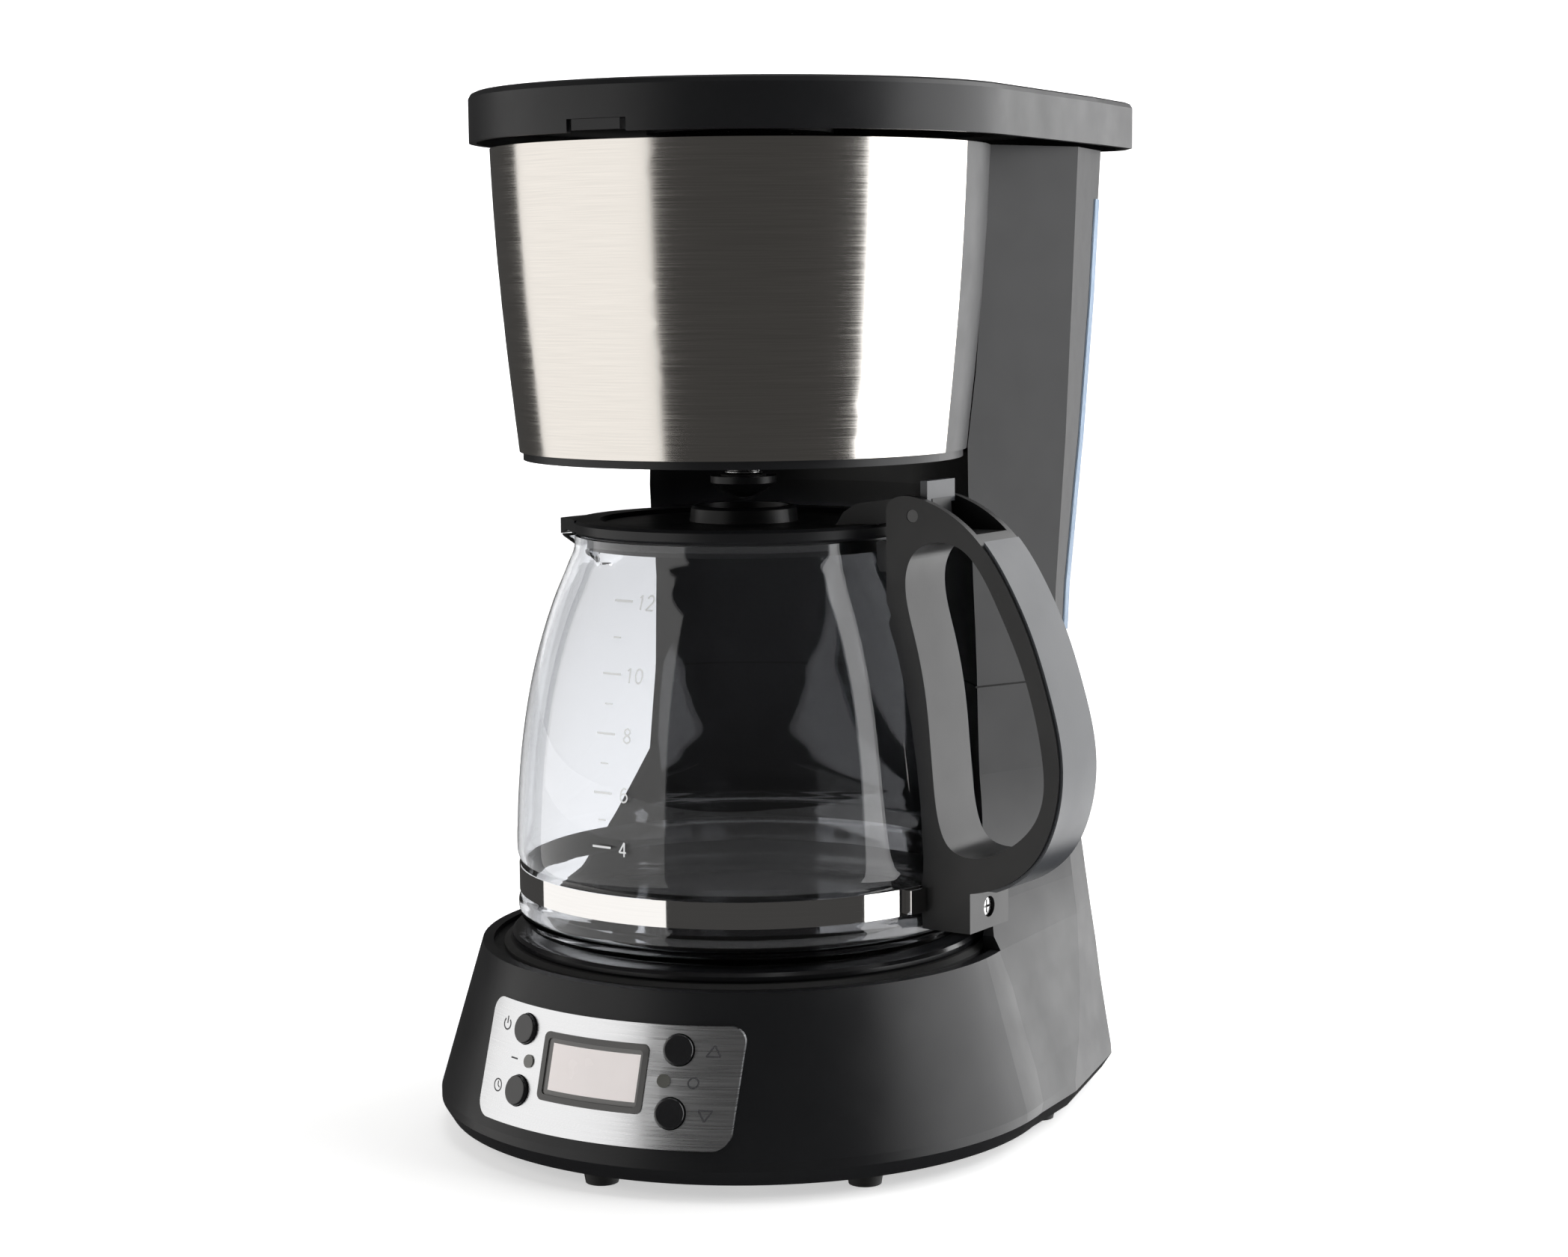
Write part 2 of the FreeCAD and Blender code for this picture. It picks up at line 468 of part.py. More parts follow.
# filter basket
cup = turned([(7.0, BASKET_BOTTOM_Z), (BASKET_BOTTOM_R, BASKET_BOTTOM_Z), (BASKET_TOP_R, 310.0),
              (BASKET_TOP_R, 314.4), (BASKET_FLANGE_R, 314.4), (BASKET_FLANGE_R, BASKET_TOP_Z),
              (BASKET_TOP_R - BASKET_WALL, BASKET_TOP_Z), (BASKET_TOP_R - BASKET_WALL, 310.0),
              (BASKET_BOTTOM_R - BASKET_WALL, BASKET_BOTTOM_Z + BASKET_WALL),
              (4.8, BASKET_BOTTOM_Z + BASKET_WALL),
              (4.8, 216.6), (7.0, 216.6)])
parts["basket_cup"] = cup
mesh_rows = [(0, 231.0), (50.0, 231.0), (64.6, 308.0), (66.0, 308.0), (66.0, 310.6), (63.6, 310.6),
             (63.2, 308.6), (49.0, 232.0), (0, 232.0)]
parts["mesh_filter"] = turned(mesh_rows)
grip = tube(66.0, 60.0, BASKET_TOP_Z - 2.0, BASKET_TOP_Z + 1.6).common(box(-80, -80, 300, 80, -18, 330))
for s in (-1, 1):
    grip = grip.fuse(Part.makeCylinder(2.6, 3.6, V(s * 62.0, -18.0, BASKET_TOP_Z - 2.0)))
parts["basket_grip"] = grip

# drip-stop valve under the basket
parts["valve_cup"] = turned([(2.4, 224.0), (4.5, 224.0), (4.5, VALVE_TOP_Z), (VALVE_R, VALVE_TOP_Z),
                             (VALVE_R, VALVE_TOP_Z - 2.2), (7.4, 207.6), (3.0, VALVE_TIP_Z + 0.2),
                             (2.2, VALVE_TIP_Z),
                             (1.2, VALVE_TIP_Z), (1.2, 209.0), (2.4, 210.4)])
parts["valve_seal"] = tube(7.4, 4.55, VALVE_TOP_Z, VALVE_TOP_Z + 0.5)
spring_low, spring_high, coils = VALVE_TOP_Z + 1.25, 215.85, 3
step = (spring_high - spring_low) / (coils - 1)
spring = [Part.makeTorus(SPRING_R + 0.1, 0.62, V(0, 0, spring_low + i * step)) for i in range(coils)]
for i in range(coils - 1):
    z = spring_low + i * step
    a = math.pi * i
    spring.append(Part.makeCylinder(0.45, step, V(5.5 * math.cos(a), 5.5 * math.sin(a), z)))
parts["valve_spring"] = fused(spring)

# carafe: glass, band, handle
def turn(shape):
    return shape.rotate(ORIGIN, UP, HANDLE_TURN)


def spout(shrink, top):
    """Pouring lip opposite the handle: a slanted cone, cut level at the top."""
    lip = Part.makeCone(4.0 - shrink, 10.6 - shrink, 24.0, V(-48.0, 0, 180.0), V(-1, 0, 1))
    return lip.common(box(-90, -20, 150, 0, 20, top))


glass = smooth_solid(GLASS_PROFILE).fuse(spout(0.0, SPOUT_TOP_Z))
glass = glass.cut(smooth_solid(inner_points(GLASS_PROFILE, GLASS_WALL, 2.4), 2.0)).cut(spout(GLASS_WALL, 196.0))
parts["carafe_glass"] = turn(glass)
parts["carafe_band"] = tube(BAND_R + 0.15, BAND_R - 0.35, BAND_LOW_Z, BAND_HIGH_Z)

OUTER_GRIP = [(92.0, 85.4), (97.5, 86.6), (103.4, 88.8), (109.1, 92.3), (115.2, 98.4), (119.6, 106.6),
              (122.2, 116.0), (123.0, 126.4), (122.2, 134.6), (118.6, 149.0), (112.4, 166.6), (104.6, 182.0),
              (95.6, 194.6), (86.0, 202.6), (76.0, 207.2), (68.0, 208.4), (63.4, 206.8), (62.0, 203.0)]
LOOP = [(70.6, 188.6), (75.0, 193.0), (82.5, 194.4), (89.2, 192.4), (94.8, 187.0), (102.2, 174.4),
        (109.4, 159.2), (114.6, 143.4), (117.6, 128.0), (117.8, 119.0), (115.2, 110.6), (109.0, 103.4),
        (101.4, 98.8), (92.6, 96.6), (84.8, 99.0), (80.8, 106.6), (79.2, 116.0), (78.0, 129.1),
        (76.2, 146.1), (72.4, 164.0), (69.0, 179.0)]


def spline_edge(points, y, closed=False):
    curve = Part.BSplineCurve()
    if closed:
        curve.interpolate(Points=[V(x, y, z) for x, z in points], PeriodicFlag=True)
    else:
        curve.interpolate([V(x, y, z) for x, z in points])
    return curve.toShape()


def grip_solid(half, grow=0.0):
    """Handle blank between +-half, its outer edge moved out by grow."""
    outer_pts = OUTER_GRIP if not grow else moved_out(OUTER_GRIP, grow)
    edge = spline_edge(outer_pts, -half)
    inner_pts = [outer_pts[-1], (62.0, 175.4), (63.6, 171.0), (60.0, 160.0), (64.0, 72.6), (92.0, 72.6),
                 outer_pts[0]]
    corners = [V(x, -half, z) for x, z in inner_pts]
    lines = [Part.makeLine(a, b) for a, b in zip(corners, corners[1:])]
    face = Part.Face(Part.Wire(Part.__sortEdges__([edge] + lines)))
    return face.extrude(V(0, 2 * half, 0))


def moved_out(points, d):
    out = []
    for i, (x, z) in enumerate(points):
        x0, z0 = points[max(i - 1, 0)]
        x1, z1 = points[min(i + 1, len(points) - 1)]
        length = math.hypot(x1 - x0, z1 - z0)
        out.append((x + d * (z1 - z0) / length, z - d * (x1 - x0) / length))
    return out


clear_rows = [(r + GAP, z) for r, z in GLASS_PROFILE]
clear_rows = [(0, 60.0), (clear_rows[0][0], 60.0)] + clear_rows
clear_rows = [(max(r, BAND_R + 0.5) if 73 < z < 91 else r, z) for r, z in clear_rows]
glass_room = turned(clear_rows + [(clear_rows[-1][0], 194.4), (0, 194.4)])
loop_face = Part.Face(Part.Wire([spline_edge(LOOP, -20.0, True)]))
loop_cut = loop_face.extrude(V(0, 40, 0))
blank = grip_solid(HANDLE_HALF).cut(loop_cut)
hook = box(56.0, -8.0, 184.0, 62.4, 8.0, 193.6)
blank = blank.fuse(hook).cut(glass_room)
blank = blank.cut(box(50, -9.4, 197.2, 95.6, 9.4, 220))
blank = blank.cut(Part.makeCylinder(2.05, 40, V(LID_PIN_X, -20, LID_PIN_Z), V(0, 1, 0)))
blank = blank.cut(Part.makeCylinder(3.3, 4.0, V(88.5, 0, 79.4), V(1, 0, 0)))
blank = blank.cut(Part.makeCylinder(1.6, 14.0, V(77.0, 0, 79.4), V(1, 0, 0)))
parts["handle_body"] = turn(blank)
cover_blank = grip_solid(HANDLE_HALF - 1.2, 1.0).cut(grip_solid(HANDLE_HALF + 2))
cover_blank = cover_blank.common(box(96.4, -20, 86.6, 140, 20, 195.6))
parts["handle_cover"] = turn(cover_blank)
screw = Part.makeCylinder(2.8, 1.8, V(89.2, 0, 79.4), V(1, 0, 0))
screw = screw.cut(box(90.2, -2.1, 79.0, 91.4, 2.1, 79.8)).cut(box(90.2, -0.4, 77.3, 91.4, 0.4, 81.5))
parts["handle_screw"] = turn(screw.fuse(Part.makeCylinder(1.5, 12.0, V(77.2, 0, 79.4), V(1, 0, 0))))
parts["lid_pin"] = turn(Part.makeCylinder(1.98, 23.6, V(LID_PIN_X, -11.8, LID_PIN_Z), V(0, 1, 0)))
clamp = []
for s in (-1, 1):
    block = tube(BAND_R + 2.4, BAND_R + 0.2, BAND_LOW_Z + 0.4, BAND_HIGH_Z - 0.4)
    y0, y1 = sorted((s * (HANDLE_HALF + 0.6), s * (HANDLE_HALF + 7.0)))
    clamp.append(block.common(box(40, y0, 70, 90, y1, 90)))
parts["band_clamps"] = turn(Part.makeCompound(clamp))

# carafe lid, swinging on the pin in the handle
disc = turned([(0, CLID_Z + 1.0), (50.2, CLID_Z + 1.0), (50.2, 189.6), (51.2, 189.6), (51.2, CLID_Z),
               (CLID_R - 0.8, CLID_Z), (CLID_R, CLID_Z + 0.8), (CLID_R, CLID_TOP_Z - 0.9),
               (CLID_R - 0.9, CLID_TOP_Z), (47.0, CLID_TOP_Z), (45.6, CLID_TOP_Z - 1.4),
               (24.0, CLID_TOP_Z - 1.4), (HUB_R + 0.6, CLID_TOP_Z - 1.0), (HUB_R, HUB_TOP_Z - 0.8),
               (HUB_R - 0.8, HUB_TOP_Z), (HUB_R - 2.6, HUB_TOP_Z), (HUB_R - 3.4, CLID_TOP_Z),
               (4.0, CLID_TOP_Z - 1.2), (0, CLID_TOP_Z - 1.2)])
disc = disc.cut(Part.makeCylinder(3.0, 20, V(0, 0, 190)))
reach = (CLID_R - SPOUT_R) / SPOUT_X
rise = math.sqrt(1 - reach * reach)
near, far = CLID_R * reach, SPOUT_X + SPOUT_R * reach
beak_plan = Part.Face(ring_of([(near, CLID_R * rise, 180), (far, SPOUT_R * rise, 180),
                               (far, -SPOUT_R * rise, 180), (near, -CLID_R * rise, 180)]))
beak_plan = beak_plan.extrude(V(0, 0, 30)).fuse(Part.makeCylinder(SPOUT_R, 30, V(SPOUT_X, 0, 180)))
beak_tip_x = SPOUT_X - SPOUT_R
beak = prism([(-30, CLID_Z), (-30, CLID_TOP_Z), (-46, CLID_TOP_Z), (beak_tip_x, CLID_TOP_Z - 2.6),
              (beak_tip_x, SPOUT_TOP_Z + 0.4), (-56, CLID_Z)], -60, 60)
beak = beak.common(beak_plan).cut(Part.makeCylinder(CLID_R - 1.0, 30, V(0, 0, 180)))
arm = prism([(38.0, CLID_TOP_Z - 2.4), (42.0, CLID_TOP_Z + 3.4), (47.0, 205.0), (66.0, 207.6), (75.0, 207.4),
             (75.4, 202.0), (73.6, 198.4), (69.4, 198.2), (62.0, 199.6), (56.0, 199.0), (50.0, CLID_Z + 1.4),
             (42.0, CLID_Z + 1.4)], -5.6, 5.6)
tab = box(72.3, -8.4, 206.0, 74.8, 8.4, 213.0)
lid_solid = fused([disc, beak, arm])
lid_solid = lid_solid.cut(Part.makeCylinder(2.04, 40, V(LID_PIN_X, -20, LID_PIN_Z), V(0, 1, 0)))
parts["carafe_lid"] = turn(lid_solid)
parts["thumb_tab"] = turn(tab.cut(arm))

# control panel
panel = cone_skin(PANEL_PROUD, 0.0).common(screen_prism(PANEL_HALF_W, PANEL_LOW_Z, PANEL_HIGH_Z, PANEL_CORNER))
screen_cut = screen_prism(SCREEN_HALF_W, SCREEN_LOW_Z, SCREEN_HIGH_Z, 2.0)
panel = panel.cut(screen_cut)
for x, z in BUTTON_SPOTS.values():
    p, n = panel_point(x, z)
    panel = panel.cut(Part.makeCylinder(BUTTON_R + GAP, 12, p - n * 6, n))
for x, z in LAMP_SPOTS:
    p, n = panel_point(x, z)
    panel = panel.cut(Part.makeCylinder(LAMP_R, 12, p - n * 6, n))
parts["panel_plate"] = panel
frame_cut = screen_prism(SCREEN_HALF_W - 1.8, SCREEN_LOW_Z + 1.8, SCREEN_HIGH_Z - 1.8, 1.2)
parts["screen_frame"] = cone_skin(1.2, 0.0).common(screen_cut).cut(frame_cut)
parts["screen_glass"] = cone_skin(0.7, 0.0).common(frame_cut)
for name, (x, z) in BUTTON_SPOTS.items():
    p, n = panel_point(x, z)
    stem = Part.makeCylinder(BUTTON_R, 6.2, p - n * 4.0, n)
    rim = [e for e in stem.Edges if abs((e.BoundBox.Center - (p + n * BUTTON_OUT)).dot(n)) < 0.2 and e.Closed]
    stem = rounded(stem, rim, 0.7)
    parts[name] = stem
lamps = []
for x, z in LAMP_SPOTS:
    p, n = panel_point(x, z)
    lamps.append(Part.makeCylinder(LAMP_R - 0.02, 4.0, p - n * 2.8, n))
parts["lamp_run"], parts["lamp_auto"] = lamps
parts["control_board"] = box(-40, -73.0, 18.0, 40, -71.4, 50.0)

# gland where a power cord would enter, at the back
gland = Part.makeCylinder(INLET_R - 0.05, 8.0, V(INLET_X, 129.2, INLET_Z), V(0, 1, 0))
gland = gland.fuse(Part.makeCylinder(8.2, 1.6, V(INLET_X, 136.05, INLET_Z), V(0, 1, 0)))
parts["cord_gland"] = gland.cut(Part.makeCylinder(3.2, 30, V(INLET_X, 120, INLET_Z), V(0, 1, 0)))

# ---------------------------------------------------------------- export
bounds = FreeCAD.BoundBox()
for shape in parts.values():
    bounds.add(shape.optimalBoundingBox(False, False))
shift = V(-(bounds.XMin + bounds.XMax) / 2, -(bounds.YMin + bounds.YMax) / 2, -bounds.ZMin)
os.makedirs("parts", exist_ok=True)
for name, shape in parts.items():
    moved = shape.copy()
    moved.translate(shift)
    moved.exportStep("parts/" + name + ".step")
    print("%-16s solids %2d  volume %9.1f  valid %s" % (name, len(moved.Solids), moved.Volume, moved.isValid()))
print("shift", shift, "size", bounds.XLength, bounds.YLength, bounds.ZLength)
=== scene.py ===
import math

import bmesh
import bpy
from mathutils import Matrix, Vector

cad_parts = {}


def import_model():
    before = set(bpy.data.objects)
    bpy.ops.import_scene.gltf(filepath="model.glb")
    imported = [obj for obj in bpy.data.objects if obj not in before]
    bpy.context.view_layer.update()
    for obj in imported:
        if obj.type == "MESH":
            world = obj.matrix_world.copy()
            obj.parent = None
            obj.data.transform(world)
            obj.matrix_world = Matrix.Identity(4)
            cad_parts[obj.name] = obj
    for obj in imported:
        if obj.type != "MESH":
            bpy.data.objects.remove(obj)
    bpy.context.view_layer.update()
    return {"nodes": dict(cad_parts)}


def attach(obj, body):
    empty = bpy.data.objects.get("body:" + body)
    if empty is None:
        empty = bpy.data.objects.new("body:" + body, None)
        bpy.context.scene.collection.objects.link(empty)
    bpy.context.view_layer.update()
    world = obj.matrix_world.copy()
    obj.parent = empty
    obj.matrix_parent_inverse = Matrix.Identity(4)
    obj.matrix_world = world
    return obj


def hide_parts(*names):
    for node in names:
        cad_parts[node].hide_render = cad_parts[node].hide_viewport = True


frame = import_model()
nodes = frame["nodes"]

# working frame of the sizes below: millimetres, carafe axis at X = Y = 0
SHIFT = Vector((-11.2324, -25.0, 0.0))
MM = 0.001


def world(x, y, z):
    return (Vector((x, y, z)) + SHIFT) * MM


# ---------------------------------------------------------------- materials
def new_mat(name):
    m = bpy.data.materials.new(name)
    m.use_nodes = True
    nt = m.node_tree
    return m, nt, nt.nodes["Principled BSDF"]


def put(bsdf, **values):
    names = {"color": "Base Color", "rough": "Roughness", "metal": "Metallic", "ior": "IOR",
             "coat": "Coat Weight", "trans": "Transmission Weight",
             "spec": "Specular IOR Level"}
    for key, value in values.items():
        colour = isinstance(value, (list, tuple))
        bsdf.inputs[names[key]].default_value = tuple(value) + (1.0,) if colour else value


def coords(nt, scale=(1, 1, 1)):
    tc = nt.nodes.new("ShaderNodeTexCoord")
    mp = nt.nodes.new("ShaderNodeMapping")
    mp.inputs["Scale"].default_value = scale
    nt.links.new(tc.outputs["Object"], mp.inputs["Vector"])
    return mp.outputs["Vector"]


def noise(nt, vector, scale, detail=3.0):
    n = nt.nodes.new("ShaderNodeTexNoise")
    n.inputs["Scale"].default_value = scale
    n.inputs["Detail"].default_value = detail
    nt.links.new(vector, n.inputs["Vector"])
    return n.outputs["Fac"]


def ramp(nt, fac, first, last):
    """Map noise onto two grey levels or two colours."""
    r = nt.nodes.new("ShaderNodeValToRGB")
    e = r.color_ramp.elements
    e[0].position, e[1].position = 0.3, 0.7
    for stop, value in zip(e, (first, last)):
        stop.color = tuple(value) + (1,) if isinstance(value, (list, tuple)) else (value, value, value, 1)
    nt.links.new(fac, r.inputs["Fac"])
    return r.outputs["Color"]


def bump(nt, bsdf, height, strength, distance):
    b = nt.nodes.new("ShaderNodeBump")
    b.inputs["Strength"].default_value = strength
    b.inputs["Distance"].default_value = distance
    nt.links.new(height, b.inputs["Height"])
    nt.links.new(b.outputs["Normal"], bsdf.inputs["Normal"])


def plastic(name, color, rough, grain=2600.0, depth=0.00004, spread=0.04, shade=0.10, **more):
    m, nt, b = new_mat(name)
    put(b, **more)
    v = coords(nt)
    nt.links.new(ramp(nt, noise(nt, v, 60.0), rough - spread, rough + spread), b.inputs["Roughness"])
    dark = [c * (1 - shade) for c in color]
    light = [min(1.0, c * (1 + shade)) for c in color]
    nt.links.new(ramp(nt, noise(nt, v, 22.0), dark, light), b.inputs["Base Color"])
    bump(nt, b, noise(nt, v, grain, 2.0), 0.35, depth)
    return m


def brushed(name, color, rough, stretch, scale=260.0, depth=0.00001, shade=0.10, **more):
    m, nt, b = new_mat(name)
    put(b, metal=1.0, **more)
    v = coords(nt, stretch)
    lines = noise(nt, v, scale, 4.0)
    nt.links.new(ramp(nt, lines, rough * 0.75, rough * 1.25), b.inputs["Roughness"])
    nt.links.new(ramp(nt, lines, [c * (1 - shade) for c in color], color), b.inputs["Base Color"])
    bump(nt, b, lines, 0.25, depth)
    return m


def clear_glass(name, color, wave, depth):
    m, nt, b = new_mat(name)
    put(b, color=color, ior=1.45, trans=1.0)
    v = coords(nt)
    nt.links.new(ramp(nt, noise(nt, v, 18.0), 0.0, 0.015), b.inputs["Roughness"])
    bump(nt, b, noise(nt, v, wave, 1.0), 0.1, depth)
    return m


mats = {
    "black": plastic("black_plastic", (0.0085, 0.0088, 0.0100), 0.38, spec=0.32),
    "black_satin": plastic("black_satin", (0.010, 0.0100, 0.0105), 0.36, spec=0.35),
    "grey": plastic("grey_plastic", (0.045, 0.048, 0.054), 0.34, spec=0.4),
    "rubber": plastic("rubber", (0.010, 0.010, 0.010), 0.7),
    "silicone": plastic("silicone", (0.62, 0.60, 0.55), 0.5, trans=0.3),
    "plate": plastic("plate_coating", (0.007, 0.007, 0.008), 0.22, grain=900.0),
    "steel": brushed("band_steel", (0.74, 0.71, 0.67), 0.16, (0.15, 0.15, 12)),
    "chrome": brushed("carafe_chrome", (0.80, 0.79, 0.78), 0.04, (0.15, 0.15, 8), depth=0.000001, shade=0.03),
    "metal": brushed("plain_steel", (0.6, 0.6, 0.6), 0.25, (3, 3, 3)),
    "panel": brushed("panel_aluminium", (0.78, 0.79, 0.81), 0.30, (0.15, 0.15, 10)),
    "gloss": plastic("gloss_black", (0.010, 0.010, 0.011), 0.2, coat=0.3, depth=0.000005),
    "bezel": plastic("screen_bezel", (0.035, 0.034, 0.033), 0.15, coat=0.5, depth=0.000003),
    "screen": plastic("screen", (0.10, 0.098, 0.095), 0.12, depth=0.000003, coat=0.6),
    "display": plastic("display", (0.78, 0.73, 0.72), 0.25, depth=0.000002, shade=0.03),
    "lamp": plastic("lamp", (0.10, 0.10, 0.09), 0.08, depth=0.000003, coat=0.8),
    "board": plastic("board_green", (0.02, 0.12, 0.05), 0.4),
    "gauge": plastic("gauge_blue", (0.50, 0.62, 0.78), 0.15, depth=0.000005, trans=0.35),
    "ink": plastic("panel_ink", (0.05, 0.05, 0.055), 0.5, shade=0.05),
    "enamel": plastic("scale_enamel", (0.85, 0.86, 0.87), 0.45, shade=0.02),
    "seam": plastic("seam_shadow", (0.002, 0.002, 0.002), 0.8),
    "glass": clear_glass("carafe_glass", (0.80, 0.81, 0.83), 9.0, 0.00002),
}
# painted light: the display is not lit, yet it gets a faint warm emission that brightens its face
display_painted_glow = mats["display"].node_tree.nodes["Principled BSDF"].inputs
display_painted_glow["Emission Color"].default_value = (1.0, 0.94, 0.92, 1)
display_painted_glow["Emission Strength"].default_value = 0.16
by_node = {}
for mat, names in {
        "black": "base_shell upper_housing lid_shell bottom_cover tank_cover basket_ring drum_floor "
                 "lid_liner lid_tab spray_head basket_cup basket_grip valve_cup carafe_lid cord_gland",
        "black_satin": "handle_body", "grey": "handle_cover thumb_tab",
        "rubber": "feet plate_seal valve_seal",
        "silicone": "cold_hose riser_tube check_valve thermostat thermal_fuse",
        "plate": "warming_plate", "steel": "steel_band", "chrome": "carafe_band band_clamps",
        "panel": "panel_plate",
        "metal": "heating_element heater_tray cover_screws hinge_pin handle_screw valve_spring mesh_filter",
        "gloss": "button_1 button_2 button_3 button_4 lid_pin", "bezel": "screen_frame",
        "screen": "screen_glass", "lamp": "lamp_run lamp_auto", "board": "control_board",
        "glass": "carafe_glass", "gauge": "water_gauge"}.items():
    for n in names.split():
        by_node[n] = mat
for name, obj in nodes.items():
    obj.data.materials.clear()
    obj.data.materials.append(mats[by_node[name]])


# ---------------------------------------------------------------- small printed and drawn pieces
def piece(name, verts, faces, material, body, slot):
    mesh = bpy.data.meshes.new(name)
    mesh.from_pydata([tuple(v) for v in verts], [], faces)
    mesh.update()
    obj = bpy.data.objects.new(name, mesh)
    bpy.context.collection.objects.link(obj)
    obj.data.materials.append(mats[material])
    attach(obj, body)
    return obj


def strokes_mesh(strokes, place):
    """Quads along polylines of (a, b) with a width, put on a surface by place(a, b)."""
    verts, faces = [], []
    for points, width in strokes:
        for (a0, b0), (a1, b1) in zip(points, points[1:]):
            length = math.hypot(a1 - a0, b1 - b0)
            na, nb = -(b1 - b0) / length * width / 2, (a1 - a0) / length * width / 2
            i = len(verts)
            verts += [place(a0 - na, b0 - nb), place(a1 - na, b1 - nb)]
            verts += [place(a1 + na, b1 + nb), place(a0 + na, b0 + nb)]
            faces.append((i, i + 1, i + 2, i + 3))
    return verts, faces


def arc(a, b, r, start, end, steps=18):
    return [(a + r * math.cos(math.radians(start + (end - start) * i / steps)),
             b + r * math.sin(math.radians(start + (end - start) * i / steps))) for i in range(steps + 1)]


BASE_R, BASE_CONE_Z, BASE_SLOPE = 102.0, 12.5, (102.0 - 87.6) / (61.0 - 12.5)


def on_panel(out):
    def place(x, z):
        r = BASE_R - BASE_SLOPE * (z - BASE_CONE_Z) + out
        return world(x, -math.sqrt(r * r - x * x), z)
    return place


# outside of the carafe's glass: (height, radius)
GLASS = [(64.7, 66.5), (65.5, 70.5), (67.8, 73.6), (71.0, 75.2), (74.2, 75.5), (77.0, 74.6), (82.0, 74.3),
         (87.0, 74.6), (90.0, 75.5), (95.0, 75.7), (100.0, 75.5), (111.0, 74.9), (124.0, 73.7), (136.0, 72.0),
         (148.4, 69.6), (160.6, 66.4), (172.8, 62.3), (184.0, 57.6), (189.6, 55.4), (193.6, 55.2)]


def slopes(points):
    """Slope at each (height, radius) point, from the two chords that meet there."""
    chords = [((r1 - r0) / (z1 - z0), z1 - z0) for (z0, r0), (z1, r1) in zip(points, points[1:])]
    inner = [(m0 * h1 + m1 * h0) / (h0 + h1) for (m0, h0), (m1, h1) in zip(chords, chords[1:])]
    return [chords[0][0]] + inner + [chords[-1][0]]


GLASS_SLOPES = slopes(GLASS)


def glass_r(z):
    """Radius of a smooth curve through GLASS."""
    i = max(k for k in range(len(GLASS) - 1) if GLASS[k][0] <= z or k == 0)
    (z0, r0), (z1, r1) = GLASS[i], GLASS[i + 1]
    h = z1 - z0
    t = (z - z0) / h
    ease = t * t * (3 - 2 * t)
    return r0 + (r1 - r0) * ease + h * t * (1 - t) * (GLASS_SLOPES[i] * (1 - t) - GLASS_SLOPES[i + 1] * t)


def on_glass(centre_deg, out=0.35):
    """Flat (a, b) in millimetres wrapped round the carafe: a along it, b is the height."""
    def place(a, z):
        r = glass_r(z) + out
        t = math.radians(centre_deg) + a / r
        return world(r * math.cos(t), r * math.sin(t), z)
    return place


DIGITS = {
    "0": [[(0.5, 0), (0.15, 0.12), (0, 0.5), (0.15, 0.88), (0.5, 1), (0.85, 0.88), (1, 0.5), (0.85, 0.12),
           (0.5, 0)]],
    "1": [[(0.2, 0.8), (0.55, 1), (0.55, 0)]],
    "2": [[(0.05, 0.78), (0.25, 0.97), (0.6, 1), (0.9, 0.8), (0.85, 0.55), (0, 0), (1, 0)]],
    "4": [[(0.72, 0), (0.72, 1), (0, 0.3), (1, 0.3)]],
    "6": [[(0.85, 0.92), (0.5, 1), (0.15, 0.8), (0, 0.4), (0.15, 0.08), (0.5, 0), (0.85, 0.1), (1, 0.33),
           (0.85, 0.54), (0.5, 0.62), (0.12, 0.5)]],
    "8": [[(0.5, 0.53), (0.15, 0.65), (0.1, 0.85), (0.5, 1), (0.9, 0.85), (0.85, 0.65), (0.5, 0.53),
           (0.08, 0.38), (0.04, 0.12), (0.5, 0), (0.96, 0.12), (0.92, 0.38), (0.5, 0.53)]],
}
SCALE = {"4": 101.4, "6": 118.2, "8": 136.4, "10": 154.6, "12": 176.6}
marks = []
for label, z in SCALE.items():
    marks.append(([(-11.6, z), (-8.0, z), (-4.4, z)], 0.7))
    for i, digit in enumerate(label):
        left = 3.4 * i - (1.2 if len(label) == 1 else 2.4)
        for line in DIGITS[digit]:
            marks.append(([(left + 2.5 * a, z - 2.4 + 4.4 * b) for a, b in line], 0.55))
heights = list(SCALE.values())
for low, high in zip(heights, heights[1:]):
    middle = (low + high) / 2
    marks.append(([(-9.4, middle), (-6.4, middle)], 0.5))
piece("carafe_scale", *strokes_mesh(marks, on_glass(-90.0)), "enamel", "carafe", "carafe_glass")

signs = [(arc(-37.6, 44.3, 1.7, 130, 410), 0.45), ([(-37.6, 44.4), (-37.6, 46.6)], 0.45),
         (arc(-37.6, 26.0, 1.8, 0, 360), 0.4), ([(-37.6, 27.2), (-37.6, 26.0), (-36.7, 25.4)], 0.35),
         ([(-33.0, 35.2), (-30.0, 35.2)], 0.5),
         ([(36.0, 42.9), (40.0, 42.9), (38.0, 46.1), (36.0, 42.9)], 0.5),
         ([(36.0, 27.4), (40.0, 27.4), (38.0, 24.2), (36.0, 27.4)], 0.5),
         (arc(33.4, 35.2, 1.5, 0, 360), 0.45)]
piece("panel_signs", *strokes_mesh(signs, on_panel(0.84)), "ink", "housing", "panel_plate")


def patch(x0, x1, z0, z1, out, cols=12):
    place = on_panel(out)
    verts, faces = [], []
    for i in range(cols + 1):
        x = x0 + (x1 - x0) * i / cols
        verts += [place(x, z0), place(x, z1)]
    for i in range(cols):
        faces.append((2 * i, 2 * i + 2, 2 * i + 3, 2 * i + 1))
    return verts, faces


piece("display_face", *patch(-15.2, 16.4, 28.6, 42.4, 0.76), "display", "housing", "screen_glass")

